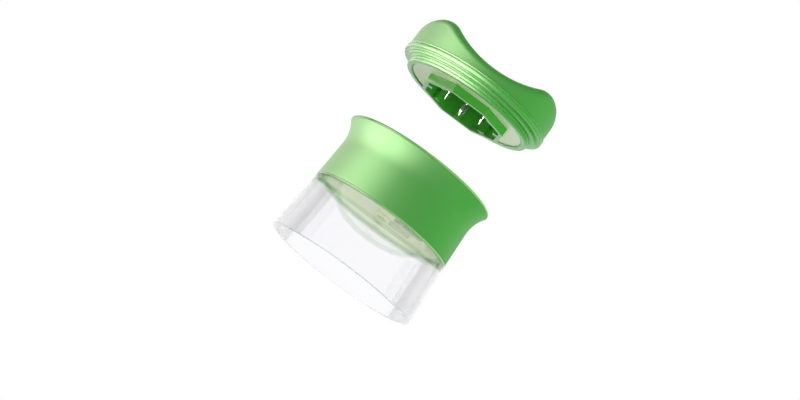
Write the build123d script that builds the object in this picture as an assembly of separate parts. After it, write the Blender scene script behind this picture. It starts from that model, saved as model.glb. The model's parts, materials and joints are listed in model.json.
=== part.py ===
from build123d import *
import os
from math import cos, radians, sin, sqrt

# Hand spiralizer: a clear sleeve to stand on, a green body that holds the blade, and a food
# holder with a saddle-shaped grip, drawn lifted off the body as it is over a long vegetable.
# Millimetres. +Z runs up the axis and the origin is the centre of the sleeve's foot.

# ---- driving sizes: sleeve and body, from the foot up and from the foot's edge inwards ----
sleeve_foot_radius = 44.0
sleeve_draft = 2.7
sleeve_wall = 4.0
sleeve_height = 35.0
sleeve_foot_round = 1.2
spigot_height = 6.0
spigot_wall = 1.1
gasket_height = 1.1

flange_height = 1.0
flange_round = 0.3
waist_rise = 20.0
waist_draft = 1.1
flare_rise = 13.9
flare_reach = 4.0
rim_band_height = 1.3
rim_round = 0.9
skin_thickness = 1.8
core_wall = 1.3
core_foot_setback = 1.4

# ---- driving sizes: funnel, blade platform and cutting parts ----
funnel_margin = 10.9
guide_wall = 1.6
guide_flange_height = 1.2
guide_tube_height = 11.3
guide_throat_round = 3.0
platform_offset = 0.2
platform_thickness = 4.6
platform_floor = 1.6
platform_rim_width = 1.2
platform_rim_slope = 3.4
slot_inset = 0.5
hub_radius = 5.0
hub_rise = 1.0
slot_front = -9.0
slot_back = 3.0
boss_count = 3
boss_start_angle = 90.0
boss_inset = 3.1
boss_radius = 3.4
boss_cover = 3.0
platform_screw_radius = 1.4
platform_screw_head_radius = 2.4
platform_screw_head_height = 1.3
bridge_height = 2.2
bridge_depth = 6.0
blade_thickness = 0.7
blade_reach = 4.5
blade_bevel = 2.0
blade_screw_radius = 1.0
blade_screw_head_radius = 1.9
blade_screw_head_height = 0.6
blade_screw_inner_gap = 4.5
blade_screw_outer_gap = 6.0
comb_thickness = 0.5
comb_tooth_count = 7
comb_tooth_depth = 4.4
cutter_radius = 3.4
cutter_wall = 0.4
cutter_rise = 3.8
cutter_bevel = 0.8

# ---- driving sizes: food holder, heights from the face of its lip that meets the rim ----
holder_lift = 46.0
seat_gap = 0.3
lip_height = 3.6
lip_round = 0.7
lip_top_round = 0.35
lip_groove_height = 2.5
lip_groove_depth = 0.5
lip_overhang = 2.8
step_overhang = 2.8
step_height = 1.8
plug_height = 5.4
plug_round = 0.9
plug_groove_depth = 0.5
plug_wall = 3.6
ledge_thickness = 2.0
plate_recess = 0.8
plate_thickness = 2.0
plate_wall = 1.6
plate_flange_thickness = 1.0
plate_width = 10.2
collar_wall = 2.2
collar_drop = 4.6
collar_sides = 8
collar_ceiling_underside = 1.6
collar_ceiling = 1.8
tooth_width = 4.0
tooth_depth = 2.6
tooth_setback = 0.6
frame_gap = 1.4
frame_skirt_wall = 2.2
frame_plate = 2.2
frame_boss_radius = 3.0
frame_boss_height = 1.8
frame_rib_width = 2.0
frame_rib_half_length = 18.0
holder_screw_count = 4
holder_screw_inset = 4.6
holder_screw_radius = 1.3
holder_screw_head_radius = 2.4
holder_screw_head_height = 1.2
holder_screw_length = 4.6
grip_setback = 0.6
grip_wall = 2.4
grip_lobe_height = 17.0
grip_lobe_radius = 12.0
grip_lobe_inset = 11.4
grip_valley_height = 6.4
grip_edge_round = 4.0
spike_count = 6
spike_start_angle = 30.0
spike_inset = 9.6
spike_radius = 1.0
spike_drop = 8.0
spike_tip = 3.0
centre_pin_radius = 1.6
centre_pin_drop = 12.0
centre_pin_head_radius = 3.0
centre_pin_head_height = 1.5

# ---- clearances ----
loose_fit = 0.3
slip_fit = 0.1
running_fit = 0.05
screw_fit = 0.03

# ---- heights and radii that follow: sleeve and body ----
sleeve_top_radius = sleeve_foot_radius - sleeve_draft
spigot_inner_radius = sleeve_top_radius - sleeve_wall
spigot_outer_radius = spigot_inner_radius + spigot_wall
gasket_foot = sleeve_height + spigot_height
groove_top = gasket_foot + gasket_height
skin_foot = sleeve_height + flange_height
waist_radius = sleeve_top_radius - waist_draft
waist_height = skin_foot + waist_rise
rim_radius = waist_radius + flare_reach
rim_band_foot = waist_height + flare_rise
rim_height = rim_band_foot + rim_band_height
step_radius = rim_radius - lip_overhang
plug_radius = step_radius - step_overhang
mouth_radius = step_radius + loose_fit
mouth_foot = rim_height - step_height - loose_fit
well_radius = plug_radius + loose_fit
core_bore_radius = spigot_inner_radius - slip_fit - core_wall

# ---- heights and radii that follow: funnel, platform and cutting parts ----
guide_top = rim_height - plug_height
guide_ledge = guide_top - guide_flange_height
platform_radius = core_bore_radius - loose_fit
core_foot = sleeve_height + core_foot_setback
platform_underside = core_foot + platform_offset
platform_top = platform_underside + platform_thickness
recess_ceiling = platform_top - platform_floor
guide_cone_foot = platform_top + guide_tube_height
boss_circle_radius = core_bore_radius - boss_inset
platform_screw_seat = platform_underside + platform_screw_head_height
platform_screw_length = guide_cone_foot - boss_cover - platform_screw_seat
food_bore_radius = core_bore_radius - funnel_margin
recess_foot_radius = platform_radius - platform_rim_width
recess_top_radius = recess_foot_radius - platform_rim_slope
slot_end_radius = food_bore_radius - slot_inset
cutting_radius = food_bore_radius - loose_fit
cutting_start = hub_radius + loose_fit
blade_underside = platform_top + bridge_height
blade_top = blade_underside + blade_thickness
blade_screw_spots = (hub_radius + blade_screw_inner_gap, food_bore_radius - blade_screw_outer_gap)

# ---- heights and radii that follow: food holder ----
holder_seat = rim_height + seat_gap + holder_lift
plug_foot = -plug_height
ring_bore_radius = plug_radius - plug_wall
ledge_top = ledge_thickness - step_height
plate_underside = plug_foot + plate_recess
plate_top = plate_underside + plate_thickness
collar_apothem = ring_bore_radius - plate_width
collar_inner_apothem = collar_apothem - collar_wall
collar_foot = plate_underside - collar_drop
collar_top = collar_ceiling_underside + collar_ceiling
holder_screw_circle_radius = collar_inner_apothem - holder_screw_inset
spike_circle_radius = collar_inner_apothem - spike_inset
grip_radius = rim_radius - grip_setback
grip_lobe_centre = grip_radius - grip_lobe_inset
frame_radius = grip_radius - grip_wall - frame_gap
frame_top = collar_top + frame_plate
frame_boss_top = frame_top + frame_boss_height
frame_rib_top = lip_height + grip_lobe_height - grip_wall - loose_fit


def waist_normal():
    """Unit normal of the tapered side, pointing outwards, as (radius, height)."""
    slant = sqrt(waist_rise**2 + waist_draft**2)
    return waist_rise / slant, waist_draft / slant


def flare_radius():
    """Radius of the concave arc that leaves the taper at the waist and ends at the rim band."""
    across, up = waist_normal()
    return (flare_reach**2 + flare_rise**2) / (2 * (flare_reach * across + flare_rise * up))


def flare_centre():
    across, up = waist_normal()
    return waist_radius + flare_radius() * across, waist_height + flare_radius() * up


def side_point(height, inset):
    """Point of the body's side at a height on the flare, moved inwards by an inset."""
    centre_radius, centre_height = flare_centre()
    reach = flare_radius() + inset
    return centre_radius - sqrt(reach**2 - (height - centre_height) ** 2), height


def side_edges(inset, foot, top):
    """Tapered line and concave arc of the body's side, from foot to top, as (radius, height) edges."""
    across, up = waist_normal()
    waist = (waist_radius - inset * across, waist_height - inset * up)
    start = (waist[0] + (waist[1] - foot) * up / across, foot)
    end = side_point(top, inset)
    middle = side_point((waist[1] + top) / 2, inset)
    return [Line(start, waist), ThreePointArc(waist, middle, end)], start, end


def turn(face):
    """Solid of revolution about Z of a face drawn as (radius, height)."""
    return revolve(Plane.XZ * face, Axis.Z, 360)


def outline(points):
    """Face through (radius, height) points; a third number rounds that corner."""
    face = make_face(Polyline(*[(p[0], p[1]) for p in points], close=True))
    for point in points:
        if len(point) == 3:
            corner = face.vertices().sort_by_distance((point[0], point[1], 0))[0]
            face = fillet(corner, point[2])
    return face


def rod(radius, foot, top, x=0.0, y=0.0):
    """Upright cylinder from foot to top."""
    return Pos(x, y, foot) * extrude(Circle(radius), top - foot)


def around(count, radius, start_angle=0.0):
    """Evenly spaced (x, y) spots on a circle."""
    angles = [radians(start_angle + 360 / count * index) for index in range(count)]
    return [(radius * cos(angle), radius * sin(angle)) for angle in angles]


def slab(x_range, y_range, z_range):
    """Box between two corners."""
    spans = [high - low for low, high in (x_range, y_range, z_range)]
    centre = [(low + high) / 2 for low, high in (x_range, y_range, z_range)]
    return Pos(*centre) * Box(*spans)


def octagonal(apothem, foot, top):
    """Upright prism with as many sides as the collar, a flat side towards +X."""
    sides = RegularPolygon(apothem, collar_sides, major_radius=False, rotation=180 / collar_sides)
    return Pos(0, 0, foot) * extrude(sides, top - foot)


def clear_sleeve():
    inner_foot = sleeve_foot_radius - sleeve_wall
    return turn(outline([
        (inner_foot, 0, sleeve_foot_round), (sleeve_foot_radius, 0, sleeve_foot_round),
        (sleeve_top_radius, sleeve_height), (spigot_outer_radius, sleeve_height),
        (spigot_outer_radius, gasket_foot), (spigot_inner_radius, gasket_foot),
        (spigot_inner_radius, sleeve_height)]))


def sleeve_gasket():
    return turn(outline([
        (spigot_inner_radius, gasket_foot), (spigot_outer_radius, gasket_foot),
        (spigot_outer_radius, groove_top), (spigot_inner_radius, groove_top)]))


def grip_skin():
    outer, outer_foot, outer_top = side_edges(0, skin_foot, rim_band_foot)
    inner, inner_foot, inner_top = side_edges(skin_thickness, skin_foot, rim_band_foot)
    return turn(make_face(outer + [Line(outer_top, inner_top)] + inner + [Line(inner_foot, outer_foot)]))


def core_shell():
    """Hard wall behind the skin, with the flange below it and the rim band above it."""
    side, side_foot, side_top = side_edges(skin_thickness + running_fit, skin_foot, rim_band_foot)
    skirt_outer = spigot_inner_radius - slip_fit
    groove_outer = spigot_outer_radius + slip_fit
    rim_outer = side_point(rim_band_foot, 0)[0]
    walls = Polyline(
        side_top, (rim_outer, rim_band_foot), (rim_outer, rim_height), (mouth_radius, rim_height),
        (mouth_radius, mouth_foot), (well_radius, mouth_foot), (well_radius, guide_ledge),
        (core_bore_radius, guide_ledge), (core_bore_radius, core_foot), (skirt_outer, core_foot),
        (skirt_outer, groove_top), (groove_outer, groove_top), (groove_outer, sleeve_height),
        (sleeve_top_radius, sleeve_height), (sleeve_top_radius, skin_foot), side_foot)
    face = make_face(side + [walls])
    rounds = (((rim_outer, rim_height, 0), rim_round),
              ((mouth_radius, rim_height, 0), rim_round),
              ((sleeve_top_radius, sleeve_height, 0), flange_round),
              ((sleeve_top_radius, skin_foot, 0), flange_round))
    for corner, size in rounds:
        face = fillet(face.vertices().sort_by_distance(corner)[0], size)
    return turn(face)


def boss_spots():
    return around(boss_count, boss_circle_radius, boss_start_angle)


def body_core():
    core = core_shell()
    screw_tip = platform_screw_seat + platform_screw_length
    for x, y in boss_spots():
        core += rod(boss_radius, platform_top, guide_cone_foot, x, y)
    for x, y in boss_spots():
        core -= rod(platform_screw_radius + screw_fit, platform_top, screw_tip + loose_fit, x, y)
    return core


def food_guide():
    flange_radius = well_radius - slip_fit
    cone_top = flange_radius - guide_wall
    tube_outer = food_bore_radius + guide_wall
    return turn(outline([
        (food_bore_radius, platform_top), (tube_outer, platform_top), (tube_outer, guide_cone_foot),
        (core_bore_radius - slip_fit, guide_ledge), (flange_radius, guide_ledge),
        (flange_radius, guide_top), (cone_top, guide_top),
        (food_bore_radius, guide_cone_foot, guide_throat_round)]))


def blade_platform():
    """Disc with a sloping rim below, a boss for each screw, a hub on the axis and the strands' slot."""
    disc = turn(outline([
        (0, recess_ceiling), (recess_top_radius, recess_ceiling), (recess_foot_radius, platform_underside),
        (platform_radius, platform_underside), (platform_radius, platform_top), (0, platform_top)]))
    for x, y in boss_spots():
        disc += rod(boss_radius, platform_underside, recess_ceiling, x, y) & rod(
            platform_radius, platform_underside, recess_ceiling)
    disc = disc + rod(hub_radius, platform_underside, platform_top + hub_rise)
    slot_span = (cutting_start, slot_end_radius - loose_fit)
    disc = disc - slab(slot_span, (slot_front, slot_back), (platform_underside, platform_top))
    disc = disc - rod(cutter_radius + screw_fit, platform_underside, platform_top + hub_rise)
    for x, y in boss_spots():
        disc -= rod(platform_screw_head_radius + slip_fit, platform_underside, platform_screw_seat, x, y)
        disc -= rod(platform_screw_radius + slip_fit, platform_screw_seat, platform_top, x, y)
    for x in blade_screw_spots:
        disc -= rod(blade_screw_radius + screw_fit, recess_ceiling, platform_top, x, screw_line())
    return disc


def screw_line():
    """Distance of the blade's screws behind the axis: the middle of the bridge."""
    return slot_back + bridge_depth / 2


def within_bore(shape):
    """Part of a shape that clears the food bore's wall."""
    return shape & rod(cutting_radius, 0, rim_height)


def blade_bridge():
    back = slot_back + bridge_depth
    block = slab((cutting_start, food_bore_radius), (slot_back, back), (platform_top, blade_underside))
    for x in blade_screw_spots:
        block -= rod(blade_screw_radius + screw_fit, platform_top, blade_underside, x, screw_line())
    return within_bore(block)


def slicing_blade():
    back = slot_back + bridge_depth
    edge = slot_back - blade_reach
    section = make_face(Polyline(
        (0, edge, blade_underside), (0, back, blade_underside), (0, back, blade_top),
        (0, edge + blade_bevel, blade_top), close=True))
    plate = Pos(cutting_start, 0, 0) * extrude(section, food_bore_radius - cutting_start, dir=(1, 0, 0))
    for x in blade_screw_spots:
        plate -= rod(blade_screw_radius + screw_fit, blade_underside, blade_top, x, screw_line())
    return within_bore(plate)


def julienne_comb():
    back = slot_back - running_fit
    front = back - comb_thickness
    top = blade_underside - running_fit
    strip_span = (cutting_start + loose_fit, slot_end_radius - 2 * loose_fit)
    comb = slab(strip_span, (front, back), (recess_ceiling, top))
    pitch = (strip_span[1] - strip_span[0] - comb_thickness) / (comb_tooth_count - 1)
    for index in range(comb_tooth_count):
        left = strip_span[0] + pitch * index
        tooth = make_face(Polyline(
            (left, front, recess_ceiling), (left, front, top), (left, front - comb_tooth_depth, top),
            (left, front - comb_tooth_depth / 2, recess_ceiling), close=True))
        comb += extrude(tooth, comb_thickness, dir=(1, 0, 0))
    return within_bore(comb)


def pan_screw(radius, head_radius, head_height, length, seat, spots, up=1):
    """Screws at (x, y) spots: the head's flat face is at the seat and the shank goes up or down."""
    screws = []
    for x, y in spots:
        shank = sorted((seat, seat + up * length))
        head = sorted((seat, seat - up * head_height))
        screws.append(rod(radius, shank[0], shank[1], x, y) + rod(head_radius, head[0], head[1], x, y))
    return Compound(children=screws)


def platform_screws():
    return pan_screw(platform_screw_radius, platform_screw_head_radius, platform_screw_head_height,
                     platform_screw_length, platform_screw_seat, boss_spots())


def blade_screws():
    length = blade_top - recess_ceiling
    spots = [(x, screw_line()) for x in blade_screw_spots]
    return pan_screw(blade_screw_radius, blade_screw_head_radius, blade_screw_head_height,
                     length, blade_top, spots, up=-1)


def core_cutter():
    top = platform_top + cutter_rise
    inner = cutter_radius - cutter_wall
    return turn(outline([
        (inner, platform_underside), (cutter_radius, platform_underside),
        (cutter_radius, top - cutter_bevel), (inner, top)]))


def cap_ring():
    groove_low = lip_groove_height - lip_groove_depth / 2
    groove_high = lip_groove_height + lip_groove_depth / 2
    plug_middle = -(plug_height + step_height) / 2
    return turn(outline([
        (ring_bore_radius, plug_foot, plug_round), (plug_radius, plug_foot, plug_round),
        (plug_radius, plug_middle - plug_groove_depth), (plug_radius - plug_groove_depth, plug_middle),
        (plug_radius, plug_middle + plug_groove_depth), (plug_radius, -step_height),
        (step_radius, -step_height, lip_round), (step_radius, 0), (rim_radius, 0, lip_round),
        (rim_radius, groove_low), (rim_radius - lip_groove_depth, lip_groove_height),
        (rim_radius, groove_high), (rim_radius, lip_height, lip_top_round),
        (frame_radius + slip_fit, lip_height), (frame_radius + slip_fit, ledge_top),
        (ring_bore_radius, ledge_top)]))


def base_plate():
    """Shallow cup that closes the ring's bore; its flange rests on the ring's ledge."""
    outer = ring_bore_radius - slip_fit
    inner = outer - plate_wall
    flange = frame_radius - frame_skirt_wall - loose_fit
    flange_top = ledge_top + plate_flange_thickness
    cup = turn(outline([
        (0, plate_underside), (outer, plate_underside), (outer, ledge_top), (flange, ledge_top),
        (flange, flange_top), (inner, flange_top), (inner, plate_top), (0, plate_top)]))
    return cup - octagonal(collar_apothem + slip_fit, plate_underside, plate_top)


def gripping_collar():
    cup = octagonal(collar_apothem, collar_foot, collar_top)
    cup = cup - octagonal(collar_inner_apothem, collar_foot, collar_ceiling_underside)
    tooth = slab((collar_inner_apothem - tooth_depth, collar_apothem - collar_wall / 2),
                 (-tooth_width / 2, tooth_width / 2),
                 (collar_foot + tooth_setback, collar_ceiling_underside))
    for index in range(collar_sides):
        cup += Rot(0, 0, 360 / collar_sides * index) * tooth
    for x, y in holder_screw_spots():
        cup -= rod(holder_screw_radius + slip_fit, collar_ceiling_underside, collar_top, x, y)
    for x, y in spike_spots():
        cup -= rod(spike_radius + screw_fit, collar_ceiling_underside, collar_top, x, y)
    return cup - rod(centre_pin_radius + running_fit, collar_ceiling_underside, collar_top)


def holder_screw_spots():
    """Screws towards the collar's corners."""
    return around(holder_screw_count, holder_screw_circle_radius, 180 / collar_sides)


def spike_spots():
    return around(spike_count, spike_circle_radius, spike_start_angle)


def knob_frame():
    frame = rod(frame_radius, ledge_top, frame_top)
    frame = frame - rod(frame_radius - frame_skirt_wall, ledge_top, collar_top)
    frame = frame + rod(centre_pin_head_radius + frame_plate, frame_top, frame_boss_top)
    for x, y in holder_screw_spots():
        frame += rod(frame_boss_radius, frame_top, frame_boss_top, x, y)
    for side in (-1, 1):
        middle = side * grip_lobe_centre
        frame += slab((middle - frame_rib_width / 2, middle + frame_rib_width / 2),
                      (-frame_rib_half_length, frame_rib_half_length), (frame_top, frame_rib_top))
    for x, y in holder_screw_spots():
        frame -= rod(holder_screw_radius + screw_fit, collar_top, frame_boss_top, x, y)
    return frame - rod(centre_pin_head_radius + running_fit, collar_top, pin_head_top() + running_fit)


def pin_head_top():
    return collar_top + running_fit + centre_pin_head_height


def saddle_block(radius, inset):
    """Round block whose top is a valley between two lobes; an inset gives its inner copy."""
    base = lip_height
    lobe = grip_lobe_radius - inset
    lobe_centre = (grip_lobe_centre, base + grip_lobe_height - grip_lobe_radius)
    valley_low = base + grip_valley_height
    drop = valley_low - lobe_centre[1]
    valley = (lobe_centre[0] ** 2 + drop**2 - grip_lobe_radius**2) / (2 * (grip_lobe_radius - drop))
    valley_centre = (0, valley_low + valley)
    rise = valley_centre[1] - lobe_centre[1]
    arm = sqrt(lobe_centre[0] ** 2 + rise**2)
    meet = (lobe_centre[0] * (1 - lobe / arm), lobe_centre[1] + rise * lobe / arm)
    low = valley_low - inset
    crest = (lobe_centre[0], lobe_centre[1] + lobe)
    shoulder = (lobe_centre[0] + lobe, lobe_centre[1])
    half = [ThreePointArc((0, low), arc_middle(valley_centre, (0, low), meet), meet),
            ThreePointArc(meet, arc_middle(lobe_centre, meet, crest), crest),
            ThreePointArc(crest, arc_middle(lobe_centre, crest, shoulder), shoulder),
            Polyline(shoulder, (shoulder[0], base), (0, base), (0, low))]
    face = make_face(half)
    face = Plane.XZ * (face + mirror(face, Plane.YZ))
    block = Pos(0, 2 * radius, 0) * extrude(face, 4 * radius, dir=(0, -1, 0))
    return block & rod(radius, base, base + grip_lobe_height)


def arc_middle(centre, start, end):
    """Middle of the shorter arc about a centre, from start to end."""
    reach = sqrt((start[0] - centre[0]) ** 2 + (start[1] - centre[1]) ** 2)
    lean = ((start[0] + end[0]) / 2 - centre[0], (start[1] + end[1]) / 2 - centre[1])
    size = sqrt(lean[0] ** 2 + lean[1] ** 2)
    return centre[0] + lean[0] * reach / size, centre[1] + lean[1] * reach / size


def knob_grip():
    outer = saddle_block(grip_radius, 0)
    upper_edges = [edge for edge in outer.edges() if (edge @ 0.5).Z > lip_height + loose_fit]
    side_line = [edge for edge in upper_edges
                 if abs(sqrt((edge @ 0.5).X ** 2 + (edge @ 0.5).Y ** 2) - grip_radius) < running_fit]
    outer = fillet(side_line, grip_edge_round)
    inner = saddle_block(grip_radius - grip_wall, grip_wall)
    return outer - inner


def spike(radius, foot, top, x=0.0, y=0.0):
    """Pin with a pointed foot."""
    body = outline([(0, foot), (radius, foot + spike_tip), (radius, top), (0, top)])
    return Pos(x, y, 0) * turn(body)


def grip_spikes():
    return Compound(children=[
        spike(spike_radius, -spike_drop, collar_top, x, y) for x, y in spike_spots()])


def holder_screws():
    return pan_screw(holder_screw_radius, holder_screw_head_radius, holder_screw_head_height,
                     holder_screw_length, collar_ceiling_underside, holder_screw_spots())


def centre_pin():
    head_foot = collar_top + running_fit
    pin = spike(centre_pin_radius, -centre_pin_drop, head_foot)
    return pin + rod(centre_pin_head_radius, head_foot, pin_head_top())


fixed_pieces = (clear_sleeve, sleeve_gasket, grip_skin, body_core, food_guide, blade_platform,
                platform_screws, blade_bridge, slicing_blade, blade_screws, julienne_comb, core_cutter)
lifted_pieces = (cap_ring, base_plate, gripping_collar, holder_screws, knob_frame, knob_grip,
                 grip_spikes, centre_pin)

os.makedirs("parts", exist_ok=True)
for make in fixed_pieces:
    export_step(make(), f"parts/{make.__name__}.step")
for make in lifted_pieces:
    export_step(Pos(0, 0, holder_seat) * make(), f"parts/{make.__name__}.step")
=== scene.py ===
# %% [markdown]
# # Hand spiralizer
# The tool is a clear sleeve that stands on the worktop, a flared green body that holds the blade, and a
# food holder that is pushed down and twisted by its saddle-shaped grip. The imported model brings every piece
# at its real size, in metres, with +Z up the tool's axis, so each new surface is drawn in the same frame.

# %% Load the model and keep its box
import json
import math

import bpy
import numpy as np
from mathutils import Matrix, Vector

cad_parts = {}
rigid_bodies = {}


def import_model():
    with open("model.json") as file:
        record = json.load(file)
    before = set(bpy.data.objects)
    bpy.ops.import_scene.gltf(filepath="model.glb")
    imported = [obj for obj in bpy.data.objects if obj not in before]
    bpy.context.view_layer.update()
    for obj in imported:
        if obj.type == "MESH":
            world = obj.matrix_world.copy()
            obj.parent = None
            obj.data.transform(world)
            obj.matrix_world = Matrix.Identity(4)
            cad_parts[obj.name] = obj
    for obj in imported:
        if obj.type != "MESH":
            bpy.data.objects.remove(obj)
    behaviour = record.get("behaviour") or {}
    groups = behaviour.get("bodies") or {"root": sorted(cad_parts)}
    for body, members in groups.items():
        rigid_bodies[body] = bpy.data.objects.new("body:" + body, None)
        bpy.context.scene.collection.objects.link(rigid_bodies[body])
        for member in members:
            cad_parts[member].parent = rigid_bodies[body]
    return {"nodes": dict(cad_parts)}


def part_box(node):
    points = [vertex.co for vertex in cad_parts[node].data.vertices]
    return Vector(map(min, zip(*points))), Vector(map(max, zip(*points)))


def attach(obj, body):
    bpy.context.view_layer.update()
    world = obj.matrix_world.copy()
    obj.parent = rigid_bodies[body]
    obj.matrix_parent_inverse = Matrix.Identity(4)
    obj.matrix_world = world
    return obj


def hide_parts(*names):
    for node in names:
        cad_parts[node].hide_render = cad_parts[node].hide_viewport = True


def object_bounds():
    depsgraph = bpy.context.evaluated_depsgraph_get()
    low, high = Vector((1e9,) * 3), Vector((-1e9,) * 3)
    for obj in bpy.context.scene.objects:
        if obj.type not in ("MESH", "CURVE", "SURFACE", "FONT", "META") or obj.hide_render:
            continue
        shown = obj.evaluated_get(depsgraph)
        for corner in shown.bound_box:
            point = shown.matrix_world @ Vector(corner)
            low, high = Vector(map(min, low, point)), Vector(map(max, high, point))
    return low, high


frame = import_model()
nodes = frame["nodes"]
model_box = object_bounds()
print("pieces in the model:", len(nodes))

# %% [markdown]
# ## Camera
# The tool leans in the picture because the camera is rolled: it looks slightly up at a tool that stands
# upright. A camera that hangs on three axes worked out from those two angles needs no aiming by hand.

# %% Camera
camera_distance = 1.1
camera_elevation = math.radians(-10.18)
camera_roll = math.radians(36.73)
camera_lens = 95.24
camera_sensor = 36.0
camera_near = 0.05
view_centre_right = 0.0312
view_centre_up = 0.0388

sin_e, cos_e = math.sin(camera_elevation), math.cos(camera_elevation)
sin_r, cos_r = math.sin(camera_roll), math.cos(camera_roll)
camera_right = np.array([cos_r, sin_e * sin_r, cos_e * sin_r])
camera_up = np.array([-sin_r, sin_e * cos_r, cos_e * cos_r])
camera_back = np.array([0.0, -cos_e, sin_e])
camera_place = view_centre_right * camera_right + view_centre_up * camera_up + camera_distance * camera_back


def hang(thing, right, up, back, place):
    """Put an object at a place, turned so that its own X, Y and Z axes are right, up and back."""
    bpy.context.scene.collection.objects.link(thing)
    matrix = np.eye(4)
    matrix[:3, 0], matrix[:3, 1], matrix[:3, 2], matrix[:3, 3] = right, up, back, place
    thing.matrix_world = Matrix(matrix.tolist())
    return thing


def place_camera():
    """Camera that looks against camera_back."""
    data = bpy.data.cameras.new("camera")
    data.sensor_width = camera_sensor
    data.lens = camera_lens
    data.clip_start = camera_near
    camera = hang(bpy.data.objects.new("camera", data), camera_right, camera_up, camera_back, camera_place)
    bpy.context.scene.camera = camera


place_camera()
print("camera at", [round(float(v), 3) for v in camera_place])

# %% [markdown]
# ## Surfaces of revolution
# Most of the tool was turned or moulded round. Such a piece is a profile, a loop of (radius, height) points,
# carried round the axis. Corners are rounded in the profile itself, because a highlight needs a real edge.

# %% Profile helpers
MM = 0.001


def rounded_loop(corners, steps=6, support=0.12):
    """Closed profile with round corners, as an array of (radius, height) in millimetres.

    Each corner is (radius, height, rounding). Its two straights are cut back by rounding / tan(half the
    inner angle), and the arc between them is walked in equal turns about its centre. One more point lies
    on each straight, support millimetres before the arc, so that shading stays flat up to there.
    """
    points = []
    count = len(corners)
    for index, corner in enumerate(corners):
        here = np.array(corner[:2], float)
        before = np.array(corners[index - 1][:2], float) - here
        after = np.array(corners[(index + 1) % count][:2], float) - here
        rounding = corner[2] if len(corner) > 2 else 0.0
        if rounding <= 0:
            points.append(here)
            continue
        reach_in, reach_out = np.linalg.norm(before), np.linalg.norm(after)
        before, after = before / reach_in, after / reach_out
        inner = math.acos(np.clip(np.dot(before, after), -1, 1))
        cut = rounding / math.tan(inner / 2)
        middle = (before + after) / np.linalg.norm(before + after)
        centre = here + middle * rounding / math.sin(inner / 2)
        start, end = here + before * cut, here + after * cut
        points.append(here + before * min(cut + support, reach_in * 0.5))
        spread = math.pi - inner
        from_centre = (start - centre) / rounding
        across = (end - centre) / rounding - from_centre * math.cos(spread)
        across = across / math.sin(spread)
        turns = np.linspace(0, spread, steps + 1)[:, None]
        points.extend(centre + rounding * (np.cos(turns) * from_centre + np.sin(turns) * across))
        points.append(here + after * min(cut + support, reach_out * 0.5))
    return np.array(points)


def grid_mesh(name, points, closed_u=True, closed_v=True):
    """Mesh from an array of points [u, v, xyz] in metres, joined round in u and v where they are closed.

    Face (u, v) joins points (u, v), (u + 1, v), (u + 1, v + 1) and (u, v + 1).
    """
    count_u, count_v = points.shape[:2]
    u = np.arange(count_u if closed_u else count_u - 1)
    v = np.arange(count_v if closed_v else count_v - 1)
    u, v = (grid.ravel() for grid in np.meshgrid(u, v, indexing="ij"))
    next_u, next_v = (u + 1) % count_u, (v + 1) % count_v
    corners = ((u, v), (next_u, v), (next_u, next_v), (u, next_v))
    faces = np.stack([row * count_v + column for row, column in corners], 1)
    mesh = bpy.data.meshes.new(name)
    mesh.vertices.add(count_u * count_v)
    mesh.vertices.foreach_set("co", points.reshape(-1).astype(np.float32))
    mesh.loops.add(faces.size)
    mesh.loops.foreach_set("vertex_index", faces.reshape(-1).astype(np.int32))
    mesh.polygons.add(len(faces))
    mesh.polygons.foreach_set("loop_start", np.arange(0, faces.size, 4, dtype=np.int32))
    mesh.polygons.foreach_set("use_smooth", np.ones(len(faces), bool))
    mesh.update(calc_edges=True)
    mesh.validate()
    return mesh


def add_piece(name, mesh):
    """Object of that mesh, at the origin."""
    piece = bpy.data.objects.new(name, mesh)
    bpy.context.scene.collection.objects.link(piece)
    return piece


def turned(name, profile, segments):
    """Piece turned about Z: point (a, p) is (r_p cos a, r_p sin a, z_p), with the profile in millimetres.

    The profile runs anticlockwise as seen with the radius to the right, so that the faces point outwards.
    """
    angle = np.linspace(0, 2 * math.pi, segments, endpoint=False)
    radius, height = profile[:, 0] * MM, profile[:, 1] * MM
    points = np.stack([
        np.outer(np.cos(angle), radius),
        np.outer(np.sin(angle), radius),
        np.broadcast_to(height, (segments, len(height)))], 2)
    return add_piece(name, grid_mesh(name, points))


print("profile helpers ready")

# %% [markdown]
# ## Finishes
# A moulded plastic looks right when its gloss is not perfectly even. Every green finish here is one recipe
# with other numbers: a base colour that drifts a little over the piece, fine grain in the roughness, and a
# bump far smaller than the grain, all read from Object coordinates so that they stay put in every pose.

# %% Material helpers
plastic_ior = 1.5
plastic_drift_scale = 18.0
coat_roughness = 0.06


def linear(red, green, blue):
    """Linear colour from 0 to 255 screen values."""
    values = np.array([red, green, blue]) / 255
    low = values / 12.92
    high = ((values + 0.055) / 1.055) ** 2.4
    return (*np.where(values <= 0.04045, low, high).tolist(), 1.0)


def new_material(name):
    """Material with an empty principled shader; returns it with its node tree and shader."""
    material = bpy.data.materials.new(name)
    material.use_nodes = True
    return material, material.node_tree, material.node_tree.nodes["Principled BSDF"]


def noise(tree, scale, detail=3.0):
    """Noise texture over Object coordinates, with scale in cycles per metre."""
    place = tree.nodes.new("ShaderNodeTexCoord")
    texture = tree.nodes.new("ShaderNodeTexNoise")
    texture.inputs["Scale"].default_value = scale
    texture.inputs["Detail"].default_value = detail
    tree.links.new(place.outputs["Object"], texture.inputs["Vector"])
    return texture


def ranged(tree, source, low, high, from_low=0.3, from_high=0.7):
    """Map Range from a noise's usual span to low..high."""
    change = tree.nodes.new("ShaderNodeMapRange")
    change.inputs["From Min"].default_value = from_low
    change.inputs["From Max"].default_value = from_high
    change.inputs["To Min"].default_value = low
    change.inputs["To Max"].default_value = high
    tree.links.new(source, change.inputs["Value"])
    return change.outputs["Result"]


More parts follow.
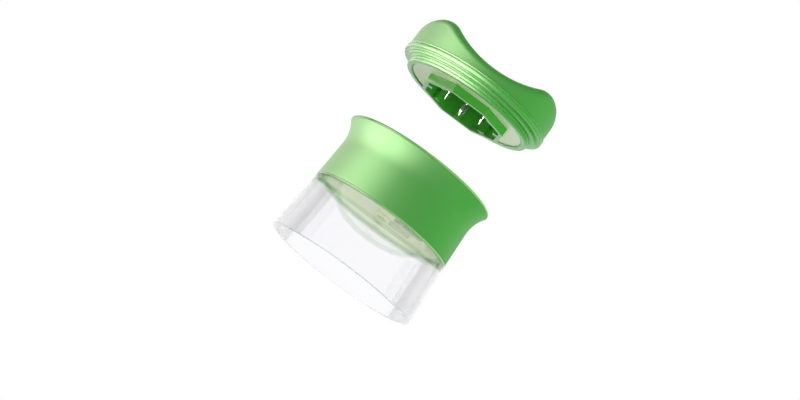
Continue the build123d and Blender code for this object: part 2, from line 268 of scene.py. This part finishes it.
def drifting_colour(tree, shader, light, dark, scale):
    """Base colour that drifts between two close colours."""
    mix = tree.nodes.new("ShaderNodeMix")
    mix.data_type = "RGBA"
    mix.inputs["A"].default_value = dark
    mix.inputs["B"].default_value = light
    factor = ranged(tree, noise(tree, scale).outputs["Fac"], 0.0, 1.0)
    tree.links.new(factor, mix.inputs["Factor"])
    tree.links.new(mix.outputs["Result"], shader.inputs["Base Color"])


def grain(tree, shader, scale, rough_low, rough_high, height):
    """Fine grain in roughness and bump, with the bump's height in metres."""
    fine = noise(tree, scale, detail=2.0)
    tree.links.new(ranged(tree, fine.outputs["Fac"], rough_low, rough_high), shader.inputs["Roughness"])
    bump = tree.nodes.new("ShaderNodeBump")
    bump.inputs["Strength"].default_value = 0.35
    bump.inputs["Distance"].default_value = height
    tree.links.new(fine.outputs["Fac"], bump.inputs["Height"])
    tree.links.new(bump.outputs["Normal"], shader.inputs["Normal"])


def plastic(name, light, dark, rough_low, rough_high, grain_scale=900.0, grain_height=0.00002,
            shine=0.5, coat=0.0):
    """Moulded plastic between two close colours, with a grain; shine is its specular level."""
    material, tree, shader = new_material(name)
    drifting_colour(tree, shader, linear(*light), linear(*dark), plastic_drift_scale)
    grain(tree, shader, grain_scale, rough_low, rough_high, grain_height)
    shader.inputs["IOR"].default_value = plastic_ior
    shader.inputs["Specular IOR Level"].default_value = shine
    shader.inputs["Coat Weight"].default_value = coat
    shader.inputs["Coat Roughness"].default_value = coat_roughness
    return material


print("material helpers ready")

# %% [markdown]
# ## Plastics
# The skin and the grip are satin rubber, the ring is smoother under a thin clear coat, and the hard core and
# collar are plain moulded plastic. The core is painted paler than the skin, a painted highlight: its flange
# and rim band show on the real tool as thin light lines along both ends of the skin, highlights on rounded
# edges.

# %% Plastics
soft_green = plastic("soft green skin", (50, 171, 32), (46, 167, 28), 0.48, 0.55, 1800.0, 0.00001, shine=1.0)
gloss_green = plastic("polished green plastic", (60, 174, 44), (56, 170, 40), 0.40, 0.46, shine=1.0, coat=0.2)
hard_green = plastic("moulded green plastic", (68, 176, 50), (64, 172, 46), 0.2, 0.28)
# Painted highlight: the core's green is painted paler, so that its flange and rim band show as thin light
# lines.
core_green_painted_highlight = plastic("core green painted pale for highlight lines", (132, 206, 108), (126, 201, 102), 0.2, 0.28)
pale_plastic = plastic("pale moulded plastic", (226, 239, 205), (221, 234, 199), 0.32, 0.4)
pale_green = plastic("pale green plastic", (150, 205, 120), (142, 198, 112), 0.30, 0.40)
silicone = plastic("silicone", (222, 230, 216), (214, 222, 206), 0.42, 0.52)
print("plastics made")

# %% [markdown]
# ## Clear plastic
# A wall this thick traps light inside itself, and a traced ray then dies in the dark. Letting a part of each
# ray pass straight through, and bending the rest a little less than real plastic does, keeps the wall light.

# %% Clear plastic
clear_ior = 1.33
clear_alpha = 0.45


def clear_plastic():
    """Thick clear plastic: full transmission, polished, part see-through, with a faint cool tint."""
    material, tree, shader = new_material("clear plastic")
    drifting_colour(tree, shader, linear(251, 251, 254), linear(248, 248, 252), 12.0)
    shader.inputs["Transmission Weight"].default_value = 1.0
    shader.inputs["IOR"].default_value = clear_ior
    shader.inputs["Roughness"].default_value = 0.0
    shader.inputs["Alpha"].default_value = clear_alpha
    return material


clear = clear_plastic()
print("clear plastic made")

# %% [markdown]
# ## Steel
# The blade, comb and spikes are ground and the screws are plain. Grinding leaves fine lines, which are a
# noise stretched along one axis. The screws take the same noise unstretched.

# %% Steel
steel_bump_height = 0.00001


def steel(name, tone, rough_low, rough_high, stretch):
    """Stainless steel; stretch is the noise's cycles per metre on X, Y and Z, the fewer the longer a line."""
    material, tree, shader = new_material(name)
    shader.inputs["Base Color"].default_value = linear(*tone)
    shader.inputs["Metallic"].default_value = 1.0
    lines = noise(tree, 1.0, detail=4.0)
    place = tree.nodes.new("ShaderNodeMapping")
    place.inputs["Scale"].default_value = stretch
    source = lines.inputs["Vector"].links[0].from_socket
    tree.links.new(source, place.inputs["Vector"])
    tree.links.new(place.outputs["Vector"], lines.inputs["Vector"])
    tree.links.new(ranged(tree, lines.outputs["Fac"], rough_low, rough_high), shader.inputs["Roughness"])
    bump = tree.nodes.new("ShaderNodeBump")
    bump.inputs["Strength"].default_value = 0.2
    bump.inputs["Distance"].default_value = steel_bump_height
    tree.links.new(lines.outputs["Fac"], bump.inputs["Height"])
    tree.links.new(bump.outputs["Normal"], shader.inputs["Normal"])
    return material


ground_steel = steel("ground steel", (206, 206, 204), 0.16, 0.3, (150.0, 3500.0, 3500.0))
screw_steel = steel("screw steel", (192, 192, 190), 0.22, 0.36, (900.0, 900.0, 900.0))
print("steels made")

# %% [markdown]
# ## Finishes of the model's own pieces
# Each piece of the model has one material slot, so its finish is one entry in a table.

# %% Finishes of the model's own pieces
# The body core takes the core green that is painted pale as a highlight.
finish_of_node = {
    "sleeve_gasket": silicone, "body_core": core_green_painted_highlight, "food_guide": pale_green,
    "blade_platform": pale_plastic, "platform_screws": screw_steel, "blade_bridge": pale_plastic,
    "slicing_blade": ground_steel, "blade_screws": screw_steel, "julienne_comb": ground_steel,
    "core_cutter": ground_steel, "base_plate": pale_plastic, "gripping_collar": hard_green,
    "holder_screws": screw_steel, "knob_frame": pale_green, "knob_grip": soft_green,
    "grip_spikes": ground_steel, "centre_pin": ground_steel, "clear_sleeve": clear,
    "grip_skin": soft_green, "cap_ring": gloss_green}
for node_name, finish in finish_of_node.items():
    for material_slot in nodes[node_name].material_slots:
        material_slot.material = finish
print("finished", len(finish_of_node), "pieces of the model")

# %% [markdown]
# ## Clear sleeve
# The sleeve is a thick wall between two cones. Its edges gather light only if they are round, and glass
# shows every facet, so it is turned again here with fine steps.

# %% Clear sleeve
sleeve_low, sleeve_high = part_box("clear_sleeve")
sleeve_foot, sleeve_top = sleeve_low.z / MM, sleeve_high.z / MM
sleeve_foot_radius = 44.0
sleeve_shoulder = 35.0
sleeve_shoulder_radius = 41.3
sleeve_wall = 4.0
spigot_wall = 1.1
foot_rounding, shoulder_rounding, spigot_rounding = 1.2, 0.15, 0.3
sleeve_bore = sleeve_shoulder_radius - sleeve_wall
sleeve_profile = rounded_loop([
    (sleeve_foot_radius - sleeve_wall, sleeve_foot, foot_rounding),
    (sleeve_foot_radius, sleeve_foot, foot_rounding),
    (sleeve_shoulder_radius, sleeve_shoulder, shoulder_rounding),
    (sleeve_bore + spigot_wall, sleeve_shoulder, shoulder_rounding),
    (sleeve_bore + spigot_wall, sleeve_top, spigot_rounding),
    (sleeve_bore, sleeve_top, spigot_rounding),
    (sleeve_bore, sleeve_shoulder)], steps=10)
sleeve = turned("clear_sleeve_wall", sleeve_profile, segments=384)
sleeve.data.materials.append(clear)
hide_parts("clear_sleeve")
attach(sleeve, "cutter_body")
sleeve.visible_shadow = False
sleeve.visible_diffuse = False

# %% [markdown]
# ## Holder ring
# The ring is a stack of round-backed bands: two on the plug, one on the step and two on the lip. Each band
# catches its own streak of light, so each is a true bead here, with a fine groove between it and the next.

# %% Holder ring
ring_seat = 117.5
ring_bore = 35.0
ring_recess = 39.9
ring_ledge = 0.2
plug_radius, step_radius, lip_radius = 38.6, 41.4, 44.2
band_heights = (-5.4, -3.6, -1.8, 0.0, 2.5, 3.6)
band_radii = (plug_radius, plug_radius, step_radius, lip_radius, lip_radius)
band_sag = 0.38
band_power = 2.6
band_steps = 14
ring_foot, ring_top = band_heights[0], band_heights[-1]
foot_width = 3.4
foot_corner = 0.5
foot_corner_points = 9
bore_foot_gap = 0.6
lip_top_radius = 43.3
recess_cut = 0.3
ledge_cut = 0.1


def band(low, high, radius):
    """Bead between two heights: r = radius - sag |t|^power, with t from -1 at its foot to 1 at its top."""
    t = np.linspace(-1, 1, band_steps)
    return np.stack([radius - band_sag * np.abs(t) ** band_power, (low + high) / 2 + t * (high - low) / 2], 1)


def ring_profile():
    """Round-cornered foot, the bands on the way up, then the recess that takes the grip, in millimetres.

    The foot's corner is the first arc of a triangle with its other two corners out on the plug.
    """
    plug_side = ring_bore + foot_width
    foot = rounded_loop([(ring_bore, ring_foot, foot_corner), (plug_side, ring_foot), (plug_side, 0)])
    heights = zip(band_heights, band_heights[1:], band_radii)
    bands = np.concatenate([band(low, high, radius) for low, high, radius in heights])
    inside = np.array([
        (lip_top_radius, ring_top),
        (ring_recess + recess_cut, ring_top), (ring_recess, ring_top - recess_cut),
        (ring_recess, ring_ledge + ledge_cut), (ring_recess - ledge_cut, ring_ledge),
        (ring_bore + ledge_cut, ring_ledge), (ring_bore, ring_ledge - ledge_cut),
        (ring_bore, ring_foot + bore_foot_gap)])
    return np.concatenate([foot[:foot_corner_points], bands, inside]) + (0, ring_seat)


ring = turned("holder_ring", ring_profile(), segments=320)
ring.data.materials.append(gloss_green)
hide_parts("cap_ring")
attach(ring, "food_holder")

# %% [markdown]
# ## Skin
# The skin tapers straight up to the waist, then flares on one arc. Its two lips are round, so that its ends
# part from the hard plastic above and below with a soft edge, as moulded rubber does.

# %% Skin
skin_foot = 36.0
skin_foot_radius = 41.3
waist_radius, waist_height = 40.2, 56.0
skin_top_radius, skin_top = 44.2, 69.9
skin_wall = 1.8
skin_lip = 0.4
taper_steps, flare_steps, lip_steps = 24, 60, 10
lip_clearance = 1.2 * skin_lip


def skin_outline():
    """Sharp outer side on the way up: the taper to the waist, then one arc that leaves it smoothly."""
    slant = math.atan2(skin_foot_radius - waist_radius, waist_height - skin_foot)
    across, up = math.cos(slant), math.sin(slant)
    reach, rise = skin_top_radius - waist_radius, skin_top - waist_height
    arc = (reach ** 2 + rise ** 2) / (2 * (reach * across + rise * up))
    centre = np.array((waist_radius + arc * across, waist_height + arc * up))
    first = math.atan2(-up, -across) % (2 * math.pi)
    last = math.atan2(skin_top - centre[1], skin_top_radius - centre[0]) % (2 * math.pi)
    angle = np.linspace(first, last, flare_steps)
    taper = np.linspace((skin_foot_radius, skin_foot), (waist_radius, waist_height), taper_steps)[:-1]
    return np.concatenate([taper, centre + arc * np.stack([np.cos(angle), np.sin(angle)], 1)])


def skin_profile():
    """Outer side with quarter-round lips, then the inner side on the way down, in millimetres."""
    side = skin_outline()
    turn = np.linspace(0, math.pi / 2, lip_steps)
    lip_rise = skin_lip * (1 - np.cos(turn))
    lip_inset = skin_lip * (1 - np.sin(turn))
    between = (side[:, 1] > skin_foot + lip_clearance) & (side[:, 1] < skin_top - lip_clearance)
    height = np.concatenate([skin_foot + lip_rise, side[between, 1], skin_top - lip_rise[::-1]])
    sharp = np.interp(height, side[:, 1], side[:, 0])
    inset = np.zeros(len(height))
    inset[:lip_steps], inset[-lip_steps:] = lip_inset, lip_inset[::-1]
    inner = np.stack([sharp - skin_wall, height], 1)[::-1]
    return np.concatenate([np.stack([sharp - inset, height], 1), inner])


skin = turned("body_skin", skin_profile(), segments=384)
skin.data.materials.append(soft_green)
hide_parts("grip_skin")
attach(skin, "cutter_body")

# %% [markdown]
# ## Directions of the light
# The picture's light is a big soft window on the left in front of a white wall. Each light below is placed
# by its direction as seen in the main picture, worked out from the camera's own axes.

# %% Directions of the light


def picture_direction(right, up, back):
    """Unit vector from parts along the camera's three axes, as it stands for the main picture."""
    vector = right * camera_right + up * camera_up + back * camera_back
    return vector / np.linalg.norm(vector)


window_direction = picture_direction(-0.85, 0.3, 0.4)
side_window_direction = picture_direction(-0.7, 0.35, -0.6)
strip_direction = picture_direction(0.95, -0.2, -0.25)
wall_direction = -camera_back
table_direction = np.array((0.0, 0.45, -0.89))
sky_direction = picture_direction(0.5, -0.6, 0.6)
ring_window_direction = picture_direction(-0.3, 0.5, 0.8)
print("window towards", np.round(window_direction, 2))

# %% [markdown]
# ## World
# A world shader can hold the whole room: white to the camera and through the clear wall, a soft sky that is
# brightest at the lower right to matt surfaces, and to a shiny surface the white wall behind, the pale table
# below, a strip on the right and a dim room. Each patch is a smooth step of the angle between a ray and a
# fixed direction, so it has no hard edge.

# %% World
room_level = 0.03
sky_low = 0.22
sky_high = 1.07


def join(tree, operation, first, second, clamp=False):
    """Math node; each side is a socket or a number."""
    node = tree.nodes.new("ShaderNodeMath")
    node.operation = operation
    node.use_clamp = clamp
    for socket, value in zip(node.inputs, (first, second)):
        if isinstance(value, (int, float)):
            socket.default_value = value
        else:
            tree.links.new(value, socket)
    return node.outputs[0]


def patch(tree, direction, edge_angle, full_angle, level):
    """Radiance of a round soft patch: level inside full_angle of its direction, 0 outside edge_angle."""
    ray = tree.nodes.new("ShaderNodeTexCoord").outputs["Generated"]
    product = tree.nodes.new("ShaderNodeVectorMath")
    product.operation = "DOT_PRODUCT"
    product.inputs[1].default_value = direction
    tree.links.new(ray, product.inputs[0])
    step = tree.nodes.new("ShaderNodeMapRange")
    step.interpolation_type = "SMOOTHSTEP"
    step.inputs["From Min"].default_value = math.cos(math.radians(edge_angle))
    step.inputs["From Max"].default_value = math.cos(math.radians(full_angle))
    step.inputs["To Max"].default_value = level
    tree.links.new(product.outputs["Value"], step.inputs["Value"])
    return step.outputs["Result"]


def light_world():
    """World with one radiance for each kind of ray."""
    world = bpy.data.worlds.new("studio")
    bpy.context.scene.world = world
    world.use_nodes = True
    tree = world.node_tree
    path = tree.nodes.new("ShaderNodeLightPath")
    wall = patch(tree, wall_direction, edge_angle=75, full_angle=35, level=1.0 - room_level)
    strip = patch(tree, strip_direction, edge_angle=24, full_angle=14, level=0.6)
    table = patch(tree, table_direction, edge_angle=50, full_angle=30, level=1.2)
    gloss = join(tree, "ADD", join(tree, "ADD", wall, table), join(tree, "ADD", strip, room_level))
    seen = join(tree, "ADD", path.outputs["Is Camera Ray"], path.outputs["Is Transmission Ray"], clamp=True)
    glossy = path.outputs["Is Glossy Ray"]
    sky_patch = patch(tree, sky_direction, edge_angle=110, full_angle=20, level=sky_high)
    sky = join(tree, "ADD", sky_low, sky_patch)
    shaded = join(tree, "ADD", join(tree, "MULTIPLY", gloss, glossy),
                  join(tree, "MULTIPLY", sky, join(tree, "SUBTRACT", 1.0, glossy)))
    strength = join(tree, "ADD", seen, join(tree, "MULTIPLY", shaded, join(tree, "SUBTRACT", 1.0, seen)))
    background = tree.nodes["Background"]
    background.inputs["Color"].default_value = (1.0, 1.0, 1.0, 1.0)
    tree.links.new(strength, background.inputs["Strength"])


light_world()
print("world lit")

# %% [markdown]
# ## Lamps
# The windows are round lamps that only gloss sees, so that they pale the left side without washing out the
# green on the right. They leave out the clear sleeve, which their glare would turn white. The ring has a
# window of its own nearer to the front, because its pale streaks reach further round than the skin's.

# %% Lamps
lamp_distance = 1.2
window_colour = (1.0, 0.87, 0.8)
white = (1.0, 1.0, 1.0)


def area_lamp(name, direction, size, radiance, gloss_only):
    """Round lamp that looks at the middle of the tool from a direction; power = pi * area * radiance."""
    data = bpy.data.lights.new(name, "AREA")
    data.shape = "DISK"
    data.size = size
    data.energy = math.pi * (math.pi * size * size / 4) * radiance
    data.color = window_colour if gloss_only else white
    low, high = model_box
    middle = np.array((low + high) / 2)
    away = np.array(direction) / np.linalg.norm(direction)
    right = np.cross((0.0, 0.0, 1.0), away)
    right = right / np.linalg.norm(right)
    lamp = bpy.data.objects.new(name, data)
    hang(lamp, right, np.cross(away, right), away, middle + away * lamp_distance)
    lamp.visible_camera = False
    lamp.visible_transmission = False
    lamp.visible_diffuse = not gloss_only
    lamp.visible_glossy = gloss_only
    return lamp


window = area_lamp("window", window_direction, size=2.1, radiance=10.5, gloss_only=True)
side_window = area_lamp("side window", side_window_direction, size=1.2, radiance=1.8, gloss_only=True)
area_lamp("top lamp", (0.3, -0.5, 1.0), size=0.8, radiance=0.3, gloss_only=False)
lit_by_window = bpy.data.collections.new("lit by window")
for piece in bpy.context.scene.collection.all_objects:
    if piece.type == "MESH" and piece != sleeve:
        lit_by_window.objects.link(piece)
for lamp in (window, side_window):
    lamp.light_linking.receiver_collection = lit_by_window
ring_window = area_lamp("ring window", ring_window_direction, size=1.6, radiance=8.0, gloss_only=True)
ring_lit = bpy.data.collections.new("lit by ring window")
ring_lit.objects.link(ring)
ring_window.light_linking.receiver_collection = ring_lit

# %% [markdown]
# ## Floor
# The tool stands on a pale floor that fades into the white wall. From below it is see-through, because the
# main picture looks slightly up, and a floor seen through the clear foot would draw a dark ring there.

# %% Floor
floor_segments = 96
floor_rings = np.array([3.0, 0.4, 0.0005])
floor_height = -0.0003
fade_start, fade_end = 0.15, 0.9
near_glow = 0.4


def lay_floor():
    """Round disc below the foot, drawn by rings from the rim inwards so that it faces up.

    Its white glow grows with distance from the tool; only the camera sees it.
    """
    angle = np.linspace(0, 2 * math.pi, floor_segments, endpoint=False)
    points = np.stack([
        np.outer(np.cos(angle), floor_rings), np.outer(np.sin(angle), floor_rings),
        np.full((floor_segments, len(floor_rings)), floor_height)], 2)
    floor = add_piece("floor", grid_mesh("floor", points, closed_v=False))
    material, tree, shader = new_material("pale floor")
    shader.inputs["Base Color"].default_value = (0.92, 0.92, 0.92, 1.0)
    shader.inputs["Roughness"].default_value = 0.7
    glow = tree.nodes.new("ShaderNodeEmission")
    reach = tree.nodes.new("ShaderNodeVectorMath")
    reach.operation = "LENGTH"
    tree.links.new(tree.nodes.new("ShaderNodeTexCoord").outputs["Object"], reach.inputs[0])
    far = ranged(tree, reach.outputs["Value"], near_glow, 1.0, fade_start, fade_end)
    fade = tree.nodes.new("ShaderNodeMixShader")
    tree.links.new(far, fade.inputs["Fac"])
    tree.links.new(shader.outputs["BSDF"], fade.inputs[1])
    tree.links.new(glow.outputs["Emission"], fade.inputs[2])
    choose = tree.nodes.new("ShaderNodeMixShader")
    tree.links.new(tree.nodes.new("ShaderNodeNewGeometry").outputs["Backfacing"], choose.inputs["Fac"])
    tree.links.new(fade.outputs["Shader"], choose.inputs[1])
    tree.links.new(tree.nodes.new("ShaderNodeBsdfTransparent").outputs["BSDF"], choose.inputs[2])
    tree.links.new(choose.outputs["Shader"], tree.nodes["Material Output"].inputs["Surface"])
    floor.data.materials.append(material)
    floor.visible_diffuse = floor.visible_glossy = False
    floor.visible_transmission = floor.visible_shadow = False


lay_floor()
bpy.context.scene.view_settings.view_transform = "Standard"
print("floor laid")
